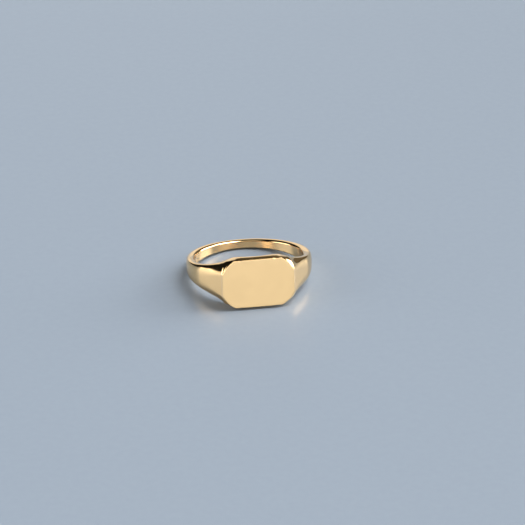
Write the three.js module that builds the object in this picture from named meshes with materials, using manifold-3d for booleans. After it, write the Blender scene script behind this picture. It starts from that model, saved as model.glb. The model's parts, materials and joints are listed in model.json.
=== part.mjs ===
// A polished gold signet ring, lying on a table as it does when it is put down.
//
// The ring is worked out in its own frame, in millimetres: x runs across the face, y from the
// face towards the back of the band, and z along the axis of the finger hole. Angles run round
// that axis from the middle of the face. At the end the ring is tipped onto the places that it
// rests on: the underside of its head, beside the finger hole, and the back of its band.

import * as THREE from 'three';
import { LoftGeometry } from 'three/addons/geometries/LoftGeometry.js';
import { mergeVertices } from 'three/addons/utils/BufferGeometryUtils.js';
import Module from 'manifold-3d';

// ---- driving dimensions ----

const HOLE_RADIUS = 8.65;
const BAND_OUTER_RADIUS = 10.05;
const BAND_OFFSET = 0.30;          // the band's outer circle sits this far towards the face

const FACE_DISTANCE = 10.10;       // from the finger hole's axis to the face
const FACE_WIDTH = 11.4;
const FACE_HEIGHT = 7.8;
const SHORT_EDGE = 3.5;            // the straight part of the face's left and right edges
const CORNER_RADIUS = 4.56;        // the long curve that takes each corner off the face
const CORNER_LEAN = 24;            // degrees between the end of that curve and the short edge
const CORNER_TURN_RADIUS = 0.7;    // the tight turn from that curve into the long edge

const PLATE_THICKNESS = 0.9;       // the plate that carries the face
const SOLDER = 0.08;               // thickness of a hard-solder layer
const GAP = 0.02;                  // clearance on each side of a solder layer

const HEAD_SEAM = 27;              // degrees from the middle of the face
const SHANK_SEAM = 60;

// Stations round the band. The upper half of its section goes up the wall of the finger hole,
// round the rim, across a bowed top, and round the outer corner to the outside.
//   rim      half height of the top where it would meet the hole
//   inset    width of the rim's rounding, and drop its height
//   bow      how far the top is bowed up between its two ends
//   edge     half height of the top where it would meet the outside
//   turn     how far in from the outside the outer corner's rounding starts
//   flank    half height at which that rounding ends
//   firm     how closely the rounding keeps to its corner
const STATIONS = [
  { angle: 0, rim: 4.03, inset: 0.20, drop: 0.12, bow: 0.17, edge: 3.86, turn: 0.06, flank: 3.60, firm: 1.00 },
  { angle: 13, rim: 4.03, inset: 0.20, drop: 0.12, bow: 0.17, edge: 3.86, turn: 0.08, flank: 3.50, firm: 1.00 },
  { angle: 18, rim: 4.01, inset: 0.26, drop: 0.13, bow: 0.17, edge: 3.82, turn: 0.30, flank: 3.20, firm: 0.80 },
  { angle: 22, rim: 3.95, inset: 0.36, drop: 0.16, bow: 0.16, edge: 3.66, turn: 0.60, flank: 2.90, firm: 0.70 },
  { angle: 25, rim: 3.86, inset: 0.46, drop: 0.20, bow: 0.14, edge: 3.48, turn: 1.00, flank: 2.50, firm: 0.62 },
  { angle: 27, rim: 3.78, inset: 0.52, drop: 0.22, bow: 0.13, edge: 3.32, turn: 1.30, flank: 2.10, firm: 0.58 },
  { angle: 29.4, rim: 3.65, inset: 0.58, drop: 0.24, bow: 0.13, edge: 3.12, turn: 1.60, flank: 1.70, firm: 0.55 },
  { angle: 33, rim: 3.42, inset: 0.60, drop: 0.26, bow: 0.13, edge: 2.80, turn: 1.60, flank: 1.50, firm: 0.62 },
  { angle: 38, rim: 3.05, inset: 0.60, drop: 0.28, bow: 0.12, edge: 2.46, turn: 1.40, flank: 1.25, firm: 0.80 },
  { angle: 47, rim: 2.50, inset: 0.55, drop: 0.30, bow: 0.12, edge: 2.20, turn: 0.95, flank: 0.70, firm: 1.05 },
  { angle: 58, rim: 2.02, inset: 0.50, drop: 0.30, bow: 0.10, edge: 1.93, turn: 0.70, flank: 0.15, firm: 1.20 },
  { angle: 75, rim: 1.52, inset: 0.45, drop: 0.30, bow: 0.07, edge: 1.56, turn: 0.62, flank: 0.05, firm: 1.30 },
  { angle: 90, rim: 1.32, inset: 0.42, drop: 0.30, bow: 0.05, edge: 1.40, turn: 0.60, flank: 0.05, firm: 1.30 },
  { angle: 130, rim: 0.88, inset: 0.40, drop: 0.25, bow: 0.03, edge: 0.97, turn: 0.55, flank: 0.05, firm: 1.30 },
  { angle: 180, rim: 0.66, inset: 0.40, drop: 0.22, bow: 0.03, edge: 0.73, turn: 0.50, flank: 0.05, firm: 1.30 },
];

const BAND_STEPS = 120;            // facets round the ring
const RIM_STEPS = [0, 0.35, 0.7, 1];
const TOP_STEPS = [0.33, 0.67];
const TURN_STEPS = [0, 0.18, 0.34, 0.5, 0.66, 0.83, 1];
const RIM_FIRM = 0.8;
const FAR = 30;                    // beyond every part of the ring
const TILT_TURNS = 8;              // rounds of settling onto the table

const GOLD = 0xe9c48d;
const SOLDER_GOLD = 0xe6cb9d;

const { degToRad } = THREE.MathUtils;

// ---- solids ----

const wasm = await Module();
wasm.setup();

function solidOf(geometry) {
  const bare = new THREE.BufferGeometry();
  bare.setAttribute('position', geometry.getAttribute('position'));
  bare.setIndex(geometry.getIndex());
  const merged = mergeVertices(bare, 1e-4);
  return new wasm.Manifold(new wasm.Mesh({
    numProp: 3,
    vertProperties: merged.getAttribute('position').array,
    triVerts: new Uint32Array(merged.getIndex().array),
  }));
}

function geometryOf(solid) {
  const { vertProperties, triVerts } = solid.getMesh();
  const geometry = new THREE.BufferGeometry();
  geometry.setAttribute('position', new THREE.BufferAttribute(vertProperties, 3));
  geometry.setIndex(new THREE.BufferAttribute(triVerts, 1));
  geometry.computeVertexNormals();
  return geometry;
}

function extruded(shape, depth) {
  return new THREE.ExtrudeGeometry(shape, { depth, bevelEnabled: false, curveSegments: 5 });
}

// ---- the band ----

const bandProfile = new THREE.CubicInterpolant(
  STATIONS.map(({ angle }) => degToRad(angle)),
  STATIONS.flatMap(({ rim, inset, drop, bow, edge, turn, flank, firm }) => (
    [rim, inset, drop, bow, edge, turn, flank, firm]
  )),
  8,
  new Float64Array(8),
);

// The outline seen along the hole's axis: the face, then a straight shoulder that leaves the
// face's edge and meets the band's circle as its tangent, then that circle.
const faceCorner = new THREE.Vector2(FACE_WIDTH / 2, -FACE_DISTANCE);
const bandCentre = new THREE.Vector2(0, -BAND_OFFSET);
const cornerFromCentre = faceCorner.clone().sub(bandCentre);
const shoulderTurn = Math.atan2(cornerFromCentre.x, -cornerFromCentre.y)
  + Math.acos(BAND_OUTER_RADIUS / cornerFromCentre.length());
const shoulderNormal = new THREE.Vector2(Math.sin(shoulderTurn), -Math.cos(shoulderTurn));
const shoulderEnd = shoulderNormal.clone().multiplyScalar(BAND_OUTER_RADIUS).add(bandCentre);

function outerRadius(angle) {
  const ray = new THREE.Vector2(Math.sin(angle), -Math.cos(angle));
  if (angle < Math.atan2(faceCorner.x, -faceCorner.y)) {
    return FACE_DISTANCE / Math.cos(angle);
  }
  if (angle < Math.atan2(shoulderEnd.x, -shoulderEnd.y)) {
    return faceCorner.dot(shoulderNormal) / ray.dot(shoulderNormal);
  }
  const along = bandCentre.dot(ray);
  return along + Math.sqrt(along ** 2 - bandCentre.lengthSq() + BAND_OUTER_RADIUS ** 2);
}

// Points on the curve that leaves the start and arrives at the end aiming at one corner. In a
// section, x is the radius and y the height.
function rounded(start, corner, end, firm, steps) {
  return steps.map((step) => {
    const weights = [(1 - step) ** 2, 2 * firm * step * (1 - step), step ** 2];
    const total = weights[0] + weights[1] + weights[2];
    return new THREE.Vector2()
      .addScaledVector(start, weights[0] / total)
      .addScaledVector(corner, weights[1] / total)
      .addScaledVector(end, weights[2] / total);
  });
}

function upperHalf(angle) {
  const [rim, inset, drop, bow, edge, turn, flank, firm] = bandProfile.evaluate(angle);
  const outer = outerRadius(angle);
  const width = outer - HOLE_RADIUS;
  const topAt = (radius) => {
    const share = (radius - HOLE_RADIUS) / width;
    return new THREE.Vector2(radius, rim + (edge - rim) * share + 4 * bow * share * (1 - share));
  };
  const slopeAt = (radius) => (edge - rim + 4 * bow * (1 - (2 * (radius - HOLE_RADIUS)) / width)) / width;

  const rimEnd = topAt(HOLE_RADIUS + inset);
  const rimCorner = new THREE.Vector2(HOLE_RADIUS, rimEnd.y - slopeAt(HOLE_RADIUS) * inset);
  const rimStart = new THREE.Vector2(HOLE_RADIUS, rimCorner.y - drop);
  const turnStart = topAt(outer - turn);
  const turnCorner = new THREE.Vector2(outer, turnStart.y + slopeAt(turnStart.x) * turn);
  const turnEnd = new THREE.Vector2(outer, flank);
  return [
    ...rounded(rimStart, rimCorner, rimEnd, RIM_FIRM, RIM_STEPS),
    ...TOP_STEPS.map((step) => topAt(rimEnd.x + (turnStart.x - rimEnd.x) * step)),
    ...rounded(turnStart, turnCorner, turnEnd, firm, TURN_STEPS),
  ];
}

function bandSection(angle) {
  const upper = upperHalf(Math.abs(angle));
  const lower = upper.map(({ x, y }) => new THREE.Vector2(x, -y)).reverse();
  return [...upper, ...lower].map(({ x, y }) => (
    new THREE.Vector3(x * Math.sin(angle), -x * Math.cos(angle), y)
  ));
}

function band() {
  const sections = [];
  for (let step = 0; step < BAND_STEPS; step += 1) {
    sections.push(bandSection((step / BAND_STEPS) * 2 * Math.PI - Math.PI));
  }
  sections.push(sections[0]);
  return solidOf(new LoftGeometry(sections));
}

// ---- the head ----

// The face's outline. Each corner is taken off by a long curve, which starts at an angle to
// the short edge and turns tightly into the long edge.
function faceOutline() {
  const quarter = Math.PI / 2;
  const lean = degToRad(CORNER_LEAN);
  const curve = new THREE.Vector2(FACE_WIDTH / 2, SHORT_EDGE / 2)
    .sub(new THREE.Vector2(Math.cos(lean), Math.sin(lean)).multiplyScalar(CORNER_RADIUS));
  const turnHeight = FACE_HEIGHT / 2 - CORNER_TURN_RADIUS;
  const centresApart = CORNER_RADIUS - CORNER_TURN_RADIUS;
  const meet = Math.asin((turnHeight - curve.y) / centresApart);
  const turn = new THREE.Vector2(curve.x + centresApart * Math.cos(meet), turnHeight);
  const shape = new THREE.Shape();
  shape.moveTo(FACE_WIDTH / 2, SHORT_EDGE / 2);
  shape.absarc(curve.x, curve.y, CORNER_RADIUS, lean, meet);
  shape.absarc(turn.x, turn.y, CORNER_TURN_RADIUS, meet, quarter);
  shape.absarc(-turn.x, turn.y, CORNER_TURN_RADIUS, quarter, 2 * quarter - meet);
  shape.absarc(-curve.x, curve.y, CORNER_RADIUS, 2 * quarter - meet, 2 * quarter - lean);
  shape.absarc(-curve.x, -curve.y, CORNER_RADIUS, 2 * quarter + lean, 2 * quarter + meet);
  shape.absarc(-turn.x, -turn.y, CORNER_TURN_RADIUS, 2 * quarter + meet, 3 * quarter);
  shape.absarc(turn.x, -turn.y, CORNER_TURN_RADIUS, -quarter, -meet);
  shape.absarc(curve.x, -curve.y, CORNER_RADIUS, -meet, -lean);
  return shape;
}

// The face's outline carried straight back from the face, square to it.
function headBlock(depth) {
  const geometry = extruded(faceOutline(), depth);
  geometry.rotateX(-Math.PI / 2);
  geometry.translate(0, -FACE_DISTANCE, 0);
  return solidOf(geometry);
}

// ---- seams ----

// The space that the table plate and a given thickness round it take out of the head.
function plateSeat(margin) {
  const back = PLATE_THICKNESS - FACE_DISTANCE + margin;
  const geometry = new THREE.BoxGeometry(FACE_WIDTH + 2 * margin, FAR, FAR);
  geometry.translate(0, back - FAR / 2, 0);
  return solidOf(geometry);
}

// A flat layer through the band at an angle in degrees, square to the band.
function seamLayer(angle, thickness) {
  const geometry = new THREE.BoxGeometry(thickness, FAR, FAR);
  geometry.translate(0, -FAR / 2, 0);
  geometry.rotateZ(degToRad(angle));
  return solidOf(geometry);
}

// Everything between two angles in degrees.
function sector(from, to) {
  const shape = new THREE.Shape();
  shape.moveTo(0, 0);
  for (let side = 0; side <= 4; side += 1) {
    const angle = degToRad(from + ((to - from) * side) / 4);
    shape.lineTo(FAR * Math.sin(angle), -FAR * Math.cos(angle));
  }
  const geometry = extruded(shape, FAR);
  geometry.translate(0, 0, -FAR / 2);
  return solidOf(geometry);
}

// ---- the pieces ----

const SEAM = SOLDER + 2 * GAP;
const SEAMS = [-SHANK_SEAM, -HEAD_SEAM, HEAD_SEAM, SHANK_SEAM];

const wholeRing = band().add(headBlock(PLATE_THICKNESS));
const underPlate = wholeRing.subtract(plateSeat(SEAM));
const betweenSeams = SEAMS.reduce(
  (solid, angle) => solid.subtract(seamLayer(angle, SEAM)),
  underPlate,
);

const pieces = {
  signet_table: wholeRing.intersect(plateSeat(0)),
  table_solder: wholeRing.intersect(plateSeat(SOLDER + GAP)).subtract(plateSeat(GAP)),
  head: betweenSeams.intersect(sector(-HEAD_SEAM, HEAD_SEAM)),
  head_solder_left: underPlate.intersect(seamLayer(-HEAD_SEAM, SOLDER)),
  head_solder_right: underPlate.intersect(seamLayer(HEAD_SEAM, SOLDER)),
  shoulder_left: betweenSeams.intersect(sector(-SHANK_SEAM, -HEAD_SEAM)),
  shoulder_right: betweenSeams.intersect(sector(HEAD_SEAM, SHANK_SEAM)),
  shank_solder_left: underPlate.intersect(seamLayer(-SHANK_SEAM, SOLDER)),
  shank_solder_right: underPlate.intersect(seamLayer(SHANK_SEAM, SOLDER)),
  shank: betweenSeams.intersect(sector(SHANK_SEAM, 360 - SHANK_SEAM)),
};

function pieceMesh(name, solid) {
  const isSolder = name.includes('solder');
  const material = new THREE.MeshStandardMaterial({
    color: isSolder ? SOLDER_GOLD : GOLD,
    roughness: isSolder ? 0.18 : 0.12,
    metalness: 1,
  });
  const mesh = new THREE.Mesh(geometryOf(solid), material);
  mesh.name = name;
  return mesh;
}

// ---- the ring at rest ----

// The ring tips until the lowest point of its front half, on the head's underside, and the
// lowest point of its back half, under the band, touch one flat surface.
function restTilt(solid) {
  const { vertProperties } = solid.getMesh();
  const points = [];
  for (let i = 0; i < vertProperties.length; i += 3) {
    points.push({ y: vertProperties[i + 1], z: vertProperties[i + 2] });
  }
  let tilt = 0;
  for (let turn = 0; turn < TILT_TURNS; turn += 1) {
    const heightOf = ({ y, z }) => z * Math.cos(tilt) - y * Math.sin(tilt);
    const lowest = (some) => some.reduce((a, b) => (heightOf(b) < heightOf(a) ? b : a));
    const front = lowest(points.filter(({ y }) => y < 0));
    const back = lowest(points.filter(({ y }) => y > 0));
    tilt = Math.atan2(back.z - front.z, back.y - front.y);
  }
  return tilt;
}

const ring = new THREE.Group();
for (const [name, solid] of Object.entries(pieces)) {
  ring.add(pieceMesh(name, solid));
}
ring.rotation.x = -restTilt(wholeRing);

const box = new THREE.Box3().setFromObject(ring, true);
const middle = box.getCenter(new THREE.Vector3());
ring.position.set(-middle.x, -middle.y, -box.min.z);

const signetRing = new THREE.Group();
signetRing.add(ring);

export default signetRing;
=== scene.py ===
import json
import math

import bpy
import numpy as np
from mathutils import Matrix, Vector
from mathutils.bvhtree import BVHTree


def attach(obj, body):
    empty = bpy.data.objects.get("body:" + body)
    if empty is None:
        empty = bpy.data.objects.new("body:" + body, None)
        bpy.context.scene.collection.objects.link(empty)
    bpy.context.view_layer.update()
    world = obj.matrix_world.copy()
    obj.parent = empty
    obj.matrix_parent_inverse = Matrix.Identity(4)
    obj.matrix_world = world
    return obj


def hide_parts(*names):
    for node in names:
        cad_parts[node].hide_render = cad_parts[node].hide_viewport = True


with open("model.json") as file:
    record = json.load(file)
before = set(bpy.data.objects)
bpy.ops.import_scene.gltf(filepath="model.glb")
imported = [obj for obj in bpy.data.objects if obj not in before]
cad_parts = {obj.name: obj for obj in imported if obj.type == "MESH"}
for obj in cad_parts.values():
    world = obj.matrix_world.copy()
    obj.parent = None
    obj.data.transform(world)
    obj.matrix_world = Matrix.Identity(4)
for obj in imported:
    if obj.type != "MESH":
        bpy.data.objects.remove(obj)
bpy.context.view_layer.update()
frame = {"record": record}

# A polished gold signet ring, lying on a pale table. The ring is worked out in its own frame,
# in millimetres: x across the face, y from the face towards the back of the band, z along the
# finger hole's axis. Angles run round that axis from the middle of the face.

MM = 0.001

# ---- the ring's dimensions, in millimetres and degrees ----

HOLE_RADIUS = 8.65
BAND_OUTER_RADIUS = 10.05
BAND_OFFSET = 0.30
FACE_DISTANCE = 10.10
HALF_WIDTH = 5.7
HALF_HEIGHT = 3.90
HALF_SHORT_EDGE = 1.75
CORNER_RADIUS = 4.56
CORNER_LEAN = 24.0
CORNER_TURN_RADIUS = 0.7

PLATE_THICKNESS = 0.9
SEAM = 0.12
SEAM_RADIUS = 10.0      # where a radial seam's width is measured
HEAD_SEAM = 27.0
SHANK_SEAM = 60.0

FACE_EDGE = 0.07        # rounding of the face's edge
END_EDGE = 0.16         # softer turn from the face into each shoulder
ROOT = 0.16             # rounding of the inside corner between the head and the side facet
HEAD_END = 31.0         # the head's outline stands out of the band up to this angle
RIM_FIRM = 0.8          # how tight the rim's rounding is
LEAST_TOP = 0.02        # the narrowest top left between the two roundings

# Stations round the band. The section's upper half goes up the hole's wall, round the rim,
# across a crowned top, and round the outer corner to the outside. The head's outline stands
# out of it in front.
# rim: the top's half height at the hole. in, up: the rim's rounding across and in height.
# crown: how far the top bows. corner: the top's half height at the outside. across: how far
# in the outer rounding starts. flank: the half height where it ends. firm: how tight it is.
STATIONS = [
    # angle, rim,  in,   up,   crown, corner, across, flank, firm
    (0.0,    4.03, 0.20, 0.12, 0.17,  3.86,   0.06,   3.60,  1.00),
    (13.0,   4.03, 0.20, 0.12, 0.17,  3.86,   0.08,   3.50,  1.00),
    (18.0,   4.01, 0.26, 0.13, 0.17,  3.82,   0.30,   3.20,  0.80),
    (22.0,   3.95, 0.36, 0.16, 0.16,  3.66,   0.60,   2.90,  0.70),
    (25.0,   3.86, 0.46, 0.20, 0.14,  3.48,   1.00,   2.50,  0.62),
    (27.0,   3.78, 0.52, 0.22, 0.13,  3.32,   1.30,   2.10,  0.58),
    (29.4,   3.65, 0.58, 0.24, 0.13,  3.12,   1.60,   1.70,  0.55),
    (33.0,   3.42, 0.60, 0.26, 0.13,  2.80,   1.60,   1.50,  0.62),
    (38.0,   3.05, 0.60, 0.28, 0.12,  2.46,   1.40,   1.25,  0.80),
    (47.0,   2.50, 0.55, 0.30, 0.12,  2.20,   0.95,   0.70,  1.05),
    (58.0,   2.02, 0.50, 0.30, 0.10,  1.93,   0.70,   0.15,  1.20),
    (75.0,   1.52, 0.45, 0.30, 0.07,  1.56,   0.62,   0.05,  1.30),
    (90.0,   1.32, 0.42, 0.30, 0.05,  1.40,   0.60,   0.05,  1.30),
    (130.0,  0.88, 0.40, 0.25, 0.03,  0.97,   0.55,   0.05,  1.30),
    (180.0,  0.66, 0.40, 0.22, 0.03,  0.73,   0.50,   0.05,  1.30),
]

# ---- how finely it is drawn ----

CURVE_POINTS = 60       # along each rounded corner
WALL_POINTS = 40        # up the hole's wall, and down the outside
TOP_POINTS = 120        # across the band's top
HEAD_POINTS = 300       # across the head's top
KEPT_POINTS = 84        # kept on each half of the section
SLOPE_STEP = 0.01       # step for measuring a slope, mm
SAME_POINT = 1e-7       # points nearer than this are one point, mm
BEND_SHARE = 12.0       # a bend of this many radians gets as many points as the whole length
BELOW = -1.0            # a height that is always the smaller one

# ---- curves ----


def smooth_table(rows):
    """A smooth curve through the rows for each column after the first, flat at both ends."""
    rows = np.array(rows, float)
    x, y = rows[:, 0], rows[:, 1:]
    step = np.diff(x)[:, None]
    slope = np.diff(y, axis=0) / step
    tangent = np.zeros_like(y)
    a, b = slope[:-1], slope[1:]
    same = a * b > 0
    w1 = 2 * step[1:] + step[:-1]
    w2 = step[1:] + 2 * step[:-1]
    with np.errstate(divide="ignore", invalid="ignore"):
        mean = (w1 + w2) / (w1 / a + w2 / b)
    tangent[1:-1] = np.where(same, mean, 0.0)

    def at(angle):
        angle = np.clip(np.atleast_1d(angle), x[0], x[-1])
        i = np.clip(np.searchsorted(x, angle) - 1, 0, len(x) - 2)
        h = (x[i + 1] - x[i])[:, None]
        t = ((angle - x[i])[:, None]) / h
        return (
            (2 * t**3 - 3 * t**2 + 1) * y[i]
            + (t**3 - 2 * t**2 + t) * h * tangent[i]
            + (3 * t**2 - 2 * t**3) * y[i + 1]
            + (t**3 - t**2) * h * tangent[i + 1]
        )

    return at


def blend_up(a, b, k):
    """The larger of a and b, with the change from one to the other rounded over k."""
    d = np.abs(a - b)
    return np.maximum(a, b) + np.where(d < k, (k - d) ** 2 / (4 * k), 0.0)


def blend_down(a, b, k):
    """The smaller of a and b, rounded in the same way."""
    return -blend_up(-a, -b, k)


def conic(start, control, end, firm):
    """A rounded corner from start to end, drawn towards control. firm says how strongly."""
    t = np.linspace(0, 1, CURVE_POINTS)
    a, m, e = (1 - t) ** 2, 2 * firm * t * (1 - t), t**2
    total = a + m + e
    return [(a * s + m * c + e * f) / total for s, c, f in zip(start, control, end)]


station = smooth_table(STATIONS)

# ---- the outline seen along the hole's axis: the shoulder leaves the face's corner and ----
# ---- meets the band's circle without a step ----

face_corner = np.array([HALF_WIDTH, -FACE_DISTANCE])
band_centre = np.array([0.0, -BAND_OFFSET])
arm = face_corner - band_centre
arm_angle = math.atan2(arm[0], -arm[1]) + math.acos(BAND_OUTER_RADIUS / np.hypot(*arm))
shoulder_normal = np.array([math.sin(arm_angle), -math.cos(arm_angle)])
shoulder_end = shoulder_normal * BAND_OUTER_RADIUS + band_centre
SHOULDER_END_ANGLE = math.atan2(shoulder_end[0], -shoulder_end[1])


def outer_radius(theta):
    """The outline's radius: the face, the straight shoulder, then the band's circle.

    The face's line and the shoulder's are held short of where a ray runs along them.
    """
    theta = np.abs(theta)
    ray = np.stack([np.sin(theta), -np.cos(theta)], -1)
    along = ray @ band_centre
    circle = along + np.sqrt(along**2 - band_centre @ band_centre + BAND_OUTER_RADIUS**2)
    shoulder = (face_corner @ shoulder_normal) / np.maximum(ray @ shoulder_normal, 0.2)
    side = np.where(theta < SHOULDER_END_ANGLE, shoulder, circle)
    face = FACE_DISTANCE / np.maximum(np.cos(theta), 0.3)
    return blend_down(face, side, END_EDGE)


# ---- the face's outline: half height across its width ----

lean = math.radians(CORNER_LEAN)
curve_x = HALF_WIDTH - CORNER_RADIUS * math.cos(lean)
curve_z = HALF_SHORT_EDGE - CORNER_RADIUS * math.sin(lean)
turn_z = HALF_HEIGHT - CORNER_TURN_RADIUS
meet = math.asin((turn_z - curve_z) / (CORNER_RADIUS - CORNER_TURN_RADIUS))
turn_x = curve_x + (CORNER_RADIUS - CORNER_TURN_RADIUS) * math.cos(meet)
meet_x = turn_x + CORNER_TURN_RADIUS * math.cos(meet)


def face_half_height(x):
    """Straight across the middle, a tight turn, then a wide curve down to the short edge."""
    x = np.abs(x)
    tight = turn_z + np.sqrt(np.maximum(CORNER_TURN_RADIUS**2 - (x - turn_x) ** 2, 0.0))
    inside = np.minimum(x, HALF_WIDTH)
    long = curve_z + np.sqrt(np.maximum(CORNER_RADIUS**2 - (inside - curve_x) ** 2, 0.0))
    past = (x - inside) / math.tan(lean)
    return np.where(x < turn_x, HALF_HEIGHT, np.where(x < meet_x, tight, long - past))


# ---- the ring's section at each angle ----


def band_section(angle, outer):
    """Radius and height over the band's top, from the hole's wall to the outside."""
    rim, rim_in, rim_up, crown, corner, across, flank, firm = station(angle)[0]
    width = outer - HOLE_RADIUS

    def top(radius):
        share = (radius - HOLE_RADIUS) / width
        return rim + (corner - rim) * share + 4 * crown * share * (1 - share)

    rim_end = HOLE_RADIUS + rim_in
    rise = (corner - rim + 4 * crown) / width
    wall_end = top(rim_end) - rise * rim_in
    foot, control = (HOLE_RADIUS, wall_end - rim_up), (HOLE_RADIUS, wall_end)
    fillet = conic(foot, control, (rim_end, top(rim_end)), RIM_FIRM)
    start = outer - min(across, width - rim_in - LEAST_TOP)
    slope = (top(start) - top(start - SLOPE_STEP)) / SLOPE_STEP
    peak = top(start) + slope * (outer - start)
    bend = conic((start, top(start)), (outer, peak), (outer, min(flank, peak)), firm)
    flat = np.linspace(rim_end, start, TOP_POINTS)[1:-1]
    radius = np.concatenate([fillet[0], flat, bend[0]])
    return radius, np.concatenate([fillet[1], top(flat), bend[1]])


def head_section(theta, outer, band_radius, band_z):
    """The same where the head stands out of the band: the larger of the two heights."""
    rim = band_radius[:CURVE_POINTS]
    across = np.linspace(rim[-1], outer - FACE_EDGE, HEAD_POINTS)
    radius = np.unique(np.concatenate([rim, across]))
    head_z = np.where(radius < rim[-1], BELOW, face_half_height(radius * math.sin(theta)))
    under_z = np.interp(radius, band_radius[:-1], band_z[:-1], right=BELOW)
    z = blend_up(under_z, head_z, ROOT)

    # the rounding of the face's edge, as wide on the corner's curve as on the straight
    x = outer * math.sin(abs(theta))
    drop = float(face_half_height(x - SLOPE_STEP) - face_half_height(x)) / SLOPE_STEP
    fall = FACE_EDGE * math.hypot(1.0, drop)
    slope = (z[-1] - z[-4]) / (radius[-1] - radius[-4])
    peak = z[-1] + slope * FACE_EDGE
    edge = conic((radius[-1], z[-1]), (outer, peak), (outer, peak - fall), 1.0)
    return np.concatenate([radius, edge[0][1:]]), np.concatenate([z, edge[1][1:]])


def half_section(theta):
    """Radius and height along the upper half of the section, from the hole's wall outwards."""
    angle = math.degrees(abs(theta))
    outer = float(outer_radius(np.array([theta]))[0])
    radius, z = band_section(angle, outer)
    if angle <= HEAD_END:
        radius, z = head_section(theta, outer, radius, z)
    up_wall = np.linspace(0, z[0], WALL_POINTS)[:-1]
    down_outside = np.linspace(z[-1], 0, WALL_POINTS)[1:]
    radius = np.concatenate([
        np.full(len(up_wall), HOLE_RADIUS), radius, np.full(len(down_outside), outer),
    ])
    return radius, np.concatenate([up_wall, z, down_outside])


def spaced(radius, z):
    """The same curve on fewer points, closer together where it bends."""
    keep = np.concatenate([[True], np.hypot(np.diff(radius), np.diff(z)) > SAME_POINT])
    radius, z = radius[keep], z[keep]
    dr, dz = np.diff(radius), np.diff(z)
    length = np.hypot(dr, dz)
    heading = np.unwrap(np.arctan2(dz, dr))
    bend = np.abs(np.diff(heading))
    bend = np.concatenate([[0], bend]) + np.concatenate([bend, [0]])
    measure = np.concatenate([[0], np.cumsum(length / length.sum() + bend / BEND_SHARE)])
    wanted = np.linspace(0, measure[-1], KEPT_POINTS)
    return np.interp(wanted, measure, radius), np.interp(wanted, measure, z)


def ring_grid():
    """The ring's points, on a grid of angle by place on the section."""
    fine = np.arange(17.0, 34.0, 0.25)      # round the face's corners and short edges
    middle = np.arange(34.0, 60.0, 0.5)
    rest = np.arange(60.0, 180.0, 1.0)
    half = np.concatenate([np.arange(0.0, 17.0, 1.0), fine, middle, rest])
    angles = np.radians(np.concatenate([-half[:0:-1], half, [180.0]]))
    points = []
    for theta in angles:
        radius, z = spaced(*half_section(theta))
        radius = np.concatenate([radius, radius[-2:0:-1]])
        z = np.concatenate([z, -z[-2:0:-1]])
        points.append(np.stack([radius * math.sin(theta), -radius * math.cos(theta), z], -1))
    return np.array(points)


# ---- placing the ring as the frame has it ----

mount = next(m for m in frame["record"]["mounts"] if m["name"] == "signet_face")
face_normal = Vector(mount["axis"]).normalized()
tilt = math.asin(face_normal.z)
rest_turn = Matrix.Rotation(-tilt, 4, "X")
face_middle = rest_turn @ Vector((0.0, -FACE_DISTANCE * MM, 0.0))
place = Matrix.Translation(Vector(mount["pos_m"]) - face_middle) @ rest_turn @ Matrix.Scale(MM, 4)


def mesh_object(name, vertices, faces):
    """A new mesh object, linked to the scene."""
    mesh = bpy.data.meshes.new(name)
    mesh.from_pydata([tuple(v) for v in vertices], [], faces)
    mesh.validate()
    thing = bpy.data.objects.new(name, mesh)
    bpy.context.scene.collection.objects.link(thing)
    return thing


def whole_ring():
    """The ring in one closed mesh, its faces turned outwards."""
    grid = ring_grid()
    rows, columns = grid.shape[:2]
    faces = []
    for i in range(rows):
        for j in range(columns):
            a, b = i * columns + j, i * columns + (j + 1) % columns
            c, d = ((i + 1) % rows) * columns + (j + 1) % columns, ((i + 1) % rows) * columns + j
            faces.append((a, b, c, d))
    return mesh_object("whole_ring", grid.reshape(-1, 3), faces)


# ---- cutting the ring into its pieces ----

# how far the cutters go past the ring, mm
CUT_REACH = 30.0
CUT_FRONT = -20.0
CUT_HALF_HEIGHT = 9.0
WEDGE_STEP = 40         # a wedge has a corner at least this often, in degrees


def gone(*things):
    """Takes the objects and their meshes out of the file."""
    for thing in things:
        mesh = thing.data
        bpy.data.objects.remove(thing)
        bpy.data.meshes.remove(mesh)


def block(low, high):
    """A closed box between two corners, in the ring's frame."""
    (x0, y0, z0), (x1, y1, z1) = low, high
    corners = [(x, y, z) for x in (x0, x1) for y in (y0, y1) for z in (z0, z1)]
    faces = [(0, 1, 3, 2), (4, 6, 7, 5), (0, 4, 5, 1), (2, 3, 7, 6), (0, 2, 6, 4), (1, 5, 7, 3)]
    return mesh_object("cutter", corners, faces)


def wedge(start, end):
    """Everything between two angles in degrees."""
    count = int(abs(end - start) // WEDGE_STEP) + 2
    angles = np.radians(np.linspace(start, end, count))
    outline = [(0.0, 0.0)] + [(CUT_REACH * math.sin(a), -CUT_REACH * math.cos(a)) for a in angles]
    size = len(outline)
    corners = [(x, y, z) for z in (-CUT_HALF_HEIGHT, CUT_HALF_HEIGHT) for x, y in outline]
    faces = [tuple(range(size - 1, -1, -1)), tuple(range(size, 2 * size))]
    faces += [(i, (i + 1) % size, size + (i + 1) % size, size + i) for i in range(size)]
    return mesh_object("cutter", corners, faces)


def carved(thing, cutter, operation):
    """A new mesh object: thing cut by cutter. The cutter is used up, thing is kept."""
    copy = thing.copy()
    copy.data = thing.data.copy()
    bpy.context.scene.collection.objects.link(copy)
    change = copy.modifiers.new("cut", "BOOLEAN")
    change.operation = operation
    change.solver = "MANIFOLD"
    change.object = cutter
    bpy.context.view_layer.update()
    graph = bpy.context.evaluated_depsgraph_get()
    mesh = bpy.data.meshes.new_from_object(copy.evaluated_get(graph))
    copy.modifiers.clear()
    old = copy.data
    copy.data = mesh
    bpy.data.meshes.remove(old)
    gone(cutter)
    return copy


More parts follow.
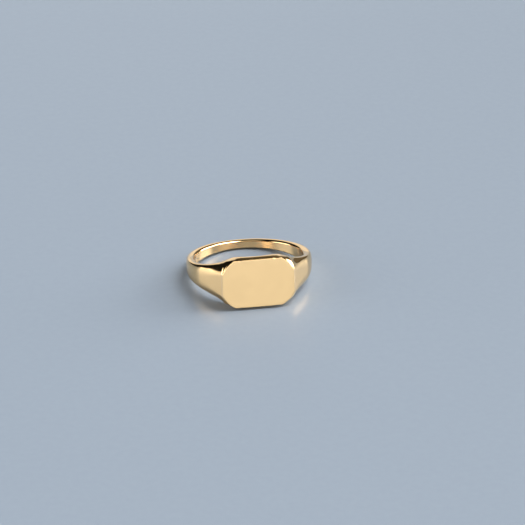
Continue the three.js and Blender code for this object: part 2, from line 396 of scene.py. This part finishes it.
def plate_space(margin):
    """The box that the plate is cut with, grown by a margin at its back and sides."""
    back = PLATE_THICKNESS - FACE_DISTANCE + margin
    side = HALF_WIDTH + margin
    return block((-side, CUT_FRONT, -CUT_HALF_HEIGHT), (side, back, CUT_HALF_HEIGHT))


half_seam = math.degrees(SEAM / 2 / SEAM_RADIUS)
ring = whole_ring()
plate = carved(ring, plate_space(0.0), "INTERSECT")
under_seat = carved(ring, plate_space(0.0), "DIFFERENCE")
under = carved(under_seat, plate_space(SEAM), "DIFFERENCE")
table_solder = carved(under_seat, plate_space(SEAM), "INTERSECT")


def sector(start, end):
    """The part of the ring under the plate between two angles."""
    return carved(under, wedge(start, end), "INTERSECT")


pieces = {
    "signet_table": plate,
    "table_solder": table_solder,
    "head": sector(-HEAD_SEAM + half_seam, HEAD_SEAM - half_seam),
    "head_solder_left": sector(-HEAD_SEAM - half_seam, -HEAD_SEAM + half_seam),
    "head_solder_right": sector(HEAD_SEAM - half_seam, HEAD_SEAM + half_seam),
    "shoulder_left": sector(-SHANK_SEAM + half_seam, -HEAD_SEAM - half_seam),
    "shoulder_right": sector(HEAD_SEAM + half_seam, SHANK_SEAM - half_seam),
    "shank_solder_left": sector(-SHANK_SEAM - half_seam, -SHANK_SEAM + half_seam),
    "shank_solder_right": sector(SHANK_SEAM - half_seam, SHANK_SEAM + half_seam),
    "shank": sector(SHANK_SEAM + half_seam, 360 - SHANK_SEAM - half_seam),
}

# ---- one polish over every piece: each keeps the whole ring's normals on its outside ----

ON_RING = 2e-4          # how near the ring's surface a point has to be, mm
SAME_WAY = 0.6          # how well a face has to agree with the ring's normal there

ring_mesh = ring.data
ring_mesh.calc_loop_triangles()
ring_points = np.array([v.co[:] for v in ring_mesh.vertices])
ring_normals = np.array([v.vector[:] for v in ring_mesh.vertex_normals])
ring_triangles = np.array([t.vertices[:] for t in ring_mesh.loop_triangles])
ring_tree = BVHTree.FromPolygons(
    [tuple(p) for p in ring_points], [tuple(t) for t in ring_triangles.tolist()],
)


def ring_normal(point):
    """The whole ring's smooth normal at the nearest place on it, and how far that is."""
    near, _, index, distance = ring_tree.find_nearest(point)
    ids = ring_triangles[index]
    a, b, c = ring_points[ids]
    e1, e2, q = b - a, c - a, np.array(near) - a
    d11, d12, d22 = e1 @ e1, e1 @ e2, e2 @ e2
    q1, q2 = q @ e1, q @ e2
    scale = max(d11 * d22 - d12 * d12, 1e-18)
    v = (d22 * q1 - d12 * q2) / scale
    w = (d11 * q2 - d12 * q1) / scale
    na, nb, nc = ring_normals[ids]
    normal = (1 - v - w) * na + v * nb + w * nc
    return Vector(normal).normalized(), distance


def polish(thing):
    """The ring's normals on the piece's outside, and flat ones where it was cut."""
    mesh = thing.data
    found = [ring_normal(v.co) for v in mesh.vertices]
    normals = []
    for polygon in mesh.polygons:
        corners = [found[i] for i in polygon.vertices]
        outside = all(distance < ON_RING for _, distance in corners)
        outside = outside and all(normal.dot(polygon.normal) > SAME_WAY for normal, _ in corners)
        for normal, _ in corners:
            normals.append(normal if outside else polygon.normal.copy())
        polygon.use_smooth = True
    mesh.normals_split_custom_set(normals)


for name, thing in pieces.items():
    polish(thing)
    thing.name = f"gold_{name}"
    thing.data.name = thing.name
    thing.data.transform(place)
    thing.data.update()
    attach(thing, "root")
    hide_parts(name)
gone(ring, under_seat, under)

# ---- materials ----


def noise(tree, vector, scale, detail):
    """A noise texture's value."""
    texture = tree.nodes.new("ShaderNodeTexNoise")
    texture.inputs["Scale"].default_value = scale
    texture.inputs["Detail"].default_value = detail
    tree.links.new(vector, texture.inputs["Vector"])
    return texture.outputs["Fac"]


def ranged(tree, value, low, high, new_low, new_high, interpolation="LINEAR"):
    """A value carried from one range to another, and held at the ends."""
    ramp = tree.nodes.new("ShaderNodeMapRange")
    ramp.interpolation_type = interpolation
    ramp.inputs["From Min"].default_value = low
    ramp.inputs["From Max"].default_value = high
    ramp.inputs["To Min"].default_value = new_low
    ramp.inputs["To Max"].default_value = new_high
    tree.links.new(value, ramp.inputs["Value"])
    return ramp.outputs["Result"]


def added(tree, first, second):
    """The sum of two values."""
    total = tree.nodes.new("ShaderNodeMath")
    total.operation = "ADD"
    tree.links.new(first, total.inputs[0])
    tree.links.new(second, total.inputs[1])
    return total.outputs[0]


def two_tone(tree, factor, first, second, socket):
    """Two colours mixed by a value, into the shader's socket."""
    tone = tree.nodes.new("ShaderNodeMix")
    tone.data_type = "RGBA"
    tone.inputs["A"].default_value = (*first, 1.0)
    tone.inputs["B"].default_value = (*second, 1.0)
    tree.links.new(factor, tone.inputs["Factor"])
    tree.links.new(tone.outputs["Result"], socket)


def relief(tree, height, strength, distance, socket):
    """A fine relief on the surface, into the shader's normal socket."""
    bump = tree.nodes.new("ShaderNodeBump")
    bump.inputs["Strength"].default_value = strength
    bump.inputs["Distance"].default_value = distance
    tree.links.new(height, bump.inputs["Height"])
    tree.links.new(bump.outputs["Normal"], socket)


def gold(name, colour, roughness):
    """Polished metal: hairline marks from the cloth, and a few duller patches from handling."""
    material = bpy.data.materials.new(name)
    material.use_nodes = True
    tree = material.node_tree
    shader = tree.nodes["Principled BSDF"]
    shader.inputs["Metallic"].default_value = 1.0
    place_on = tree.nodes.new("ShaderNodeTexCoord").outputs["Object"]

    def marks(scale, stretch, detail):
        """Noise drawn out along one direction, askew to the ring."""
        mapping = tree.nodes.new("ShaderNodeMapping")
        mapping.inputs["Scale"].default_value = stretch
        mapping.inputs["Rotation"].default_value = (0.3, 0.5, 0.4)
        tree.links.new(place_on, mapping.inputs["Vector"])
        return noise(tree, mapping.outputs[0], scale, detail)

    patches = marks(350.0, (1.0, 1.0, 1.0), 3.0)
    hairlines = marks(900.0, (1.0, 12.0, 14.0), 4.0)
    cross_lines = marks(800.0, (13.0, 1.2, 9.0), 4.0)

    dull = ranged(tree, patches, 0.35, 0.7, roughness - 0.015, roughness + 0.025)
    scratched = ranged(tree, hairlines, 0.55, 0.75, 0.0, 0.03)
    tree.links.new(added(tree, dull, scratched), shader.inputs["Roughness"])
    handled = ranged(tree, patches, 0.4, 0.65, 0.0, 1.0)
    darker = [c * 0.965 for c in colour]
    two_tone(tree, handled, colour, darker, shader.inputs["Base Color"])
    relief(tree, added(tree, hairlines, cross_lines), 0.05, 0.00001, shader.inputs["Normal"])
    return material


polished = gold("polished_gold", (0.985, 0.685, 0.345), 0.08)
solder = gold("gold_solder", (0.92, 0.67, 0.40), 0.09)
for name, thing in pieces.items():
    thing.data.materials.clear()
    thing.data.materials.append(solder if "solder" in name else polished)

# ---- the table ----

TABLE_REACH = 2.0       # half its side, in metres
PAPER_DARK = (0.230, 0.276, 0.342)
PAPER_LIGHT = (0.252, 0.300, 0.363)


def table_paper():
    """Grey-blue paper with a fine grain, and the slight shine of a smooth sheet."""
    material = bpy.data.materials.new("table_paper")
    material.use_nodes = True
    tree = material.node_tree
    shader = tree.nodes["Principled BSDF"]
    shader.inputs["Roughness"].default_value = 0.30
    shader.inputs["IOR"].default_value = 1.55
    place_on = tree.nodes.new("ShaderNodeTexCoord").outputs["Object"]
    grain = noise(tree, place_on, 900.0, 5.0)
    two_tone(tree, grain, PAPER_DARK, PAPER_LIGHT, shader.inputs["Base Color"])
    relief(tree, grain, 0.15, 0.00005, shader.inputs["Normal"])
    return material


reach = TABLE_REACH
table_corners = [(-reach, -reach, 0), (reach, -reach, 0), (reach, reach, 0), (-reach, reach, 0)]
table = mesh_object("table", table_corners, [(0, 1, 2, 3)])
table.data.materials.append(table_paper())

# ---- light: soft round cards in a dark room. Polished gold shows each card where its ----
# ---- surface turns towards it, and the dark of the room everywhere else ----

ROOM_GLOW = 0.01
NEUTRAL = (1.0, 0.985, 0.96)
OVERHEAD = (1.0, 0.99, 0.97)
AMBER = (1.0, 0.9, 0.7)

# azimuth and elevation: the card's middle, in degrees, azimuth 0 in front and 90 to the right.
# inside, outside: the angles from the middle where it starts to fade and where it ends.
CARDS = [
    # azimuth, elevation, inside, outside, strength, colour
    (180, 0, 16, 26, 0.9, NEUTRAL),         # low behind, on the rim of the band
    (0, -65, 74, 90, 2.95, NEUTRAL),        # low in front, mirrored by the face and the shoulders
    (-90, 18, 16, 28, 3.2, NEUTRAL),        # left, on the left shoulder
    (-104, -2, 9, 17, 0.9, NEUTRAL),        # far left, on the left side of the band
    (52, 28, 15, 36, 0.5, NEUTRAL),         # front right fill
    (98, 20, 12, 27, 8.0, NEUTRAL),         # right, on the right shoulder
    (140, 25, 20, 40, 0.12, AMBER),         # behind on the right, on the dark side facet
    (0, 80, 14, 32, 0.6, OVERHEAD),         # overhead, on the table
    (97, 62, 11, 24, 10.5, OVERHEAD),       # high on the right, for the shadow to the left
]


def soft_card(tree, direction, azimuth, elevation, inside, outside, strength, colour):
    """Light from one soft round patch of the room."""
    a, e = math.radians(azimuth), math.radians(elevation)
    dot = tree.nodes.new("ShaderNodeVectorMath")
    dot.operation = "DOT_PRODUCT"
    tree.links.new(direction, dot.inputs[0])
    dot.inputs[1].default_value = (
        math.sin(a) * math.cos(e), -math.cos(a) * math.cos(e), math.sin(e),
    )
    edge, full = math.cos(math.radians(outside)), math.cos(math.radians(inside))
    glow = ranged(tree, dot.outputs["Value"], edge, full, 0.0, strength, "SMOOTHSTEP")
    emit = tree.nodes.new("ShaderNodeBackground")
    emit.inputs["Color"].default_value = (*colour, 1.0)
    tree.links.new(glow, emit.inputs["Strength"])
    return emit.outputs[0]


def studio():
    """The world: a faint even glow with every card added to it."""
    world = bpy.data.worlds.new("studio")
    world.use_nodes = True
    tree = world.node_tree
    tree.nodes.clear()
    direction = tree.nodes.new("ShaderNodeTexCoord").outputs["Generated"]
    room = tree.nodes.new("ShaderNodeBackground")
    room.inputs["Color"].default_value = (1, 1, 1, 1)
    room.inputs["Strength"].default_value = ROOM_GLOW
    total = room.outputs[0]
    for card in CARDS:
        both = tree.nodes.new("ShaderNodeAddShader")
        tree.links.new(total, both.inputs[0])
        tree.links.new(soft_card(tree, direction, *card), both.inputs[1])
        total = both.outputs[0]
    surface = tree.nodes.new("ShaderNodeOutputWorld").inputs["Surface"]
    tree.links.new(total, surface)
    return world


bpy.context.scene.world = studio()

# ---- camera ----

CAMERA_DISTANCE = 0.400
CAMERA_LENS = 171.6
CAMERA_SIDE = Vector((-0.13297, -0.93316, 0.33397))     # from the ring to it, in the ring's frame
AIM_RIGHT = 0.00220     # the ring lies this far left of the middle of the view, in metres
AIM_DOWN = 0.000066

towards_camera = rest_turn @ CAMERA_SIDE.normalized()
ring_middle = place @ Vector((0.0, 0.0, 0.0))
camera_data = bpy.data.cameras.new("camera")
camera_data.lens = CAMERA_LENS
camera_data.sensor_width = 36.0
camera_data.clip_start = 0.01
camera_data.clip_end = 10.0
camera = bpy.data.objects.new("camera", camera_data)
bpy.context.scene.collection.objects.link(camera)
camera.location = ring_middle + towards_camera * CAMERA_DISTANCE
to_right = Vector((0, 0, 1)).cross(towards_camera).normalized()
to_top = towards_camera.cross(to_right).normalized()
aim = ring_middle + to_right * AIM_RIGHT - to_top * AIM_DOWN
camera.rotation_mode = "QUATERNION"
camera.rotation_quaternion = (aim - camera.location).to_track_quat("-Z", "Y")
bpy.context.scene.camera = camera
bpy.context.scene.view_settings.view_transform = "Standard"
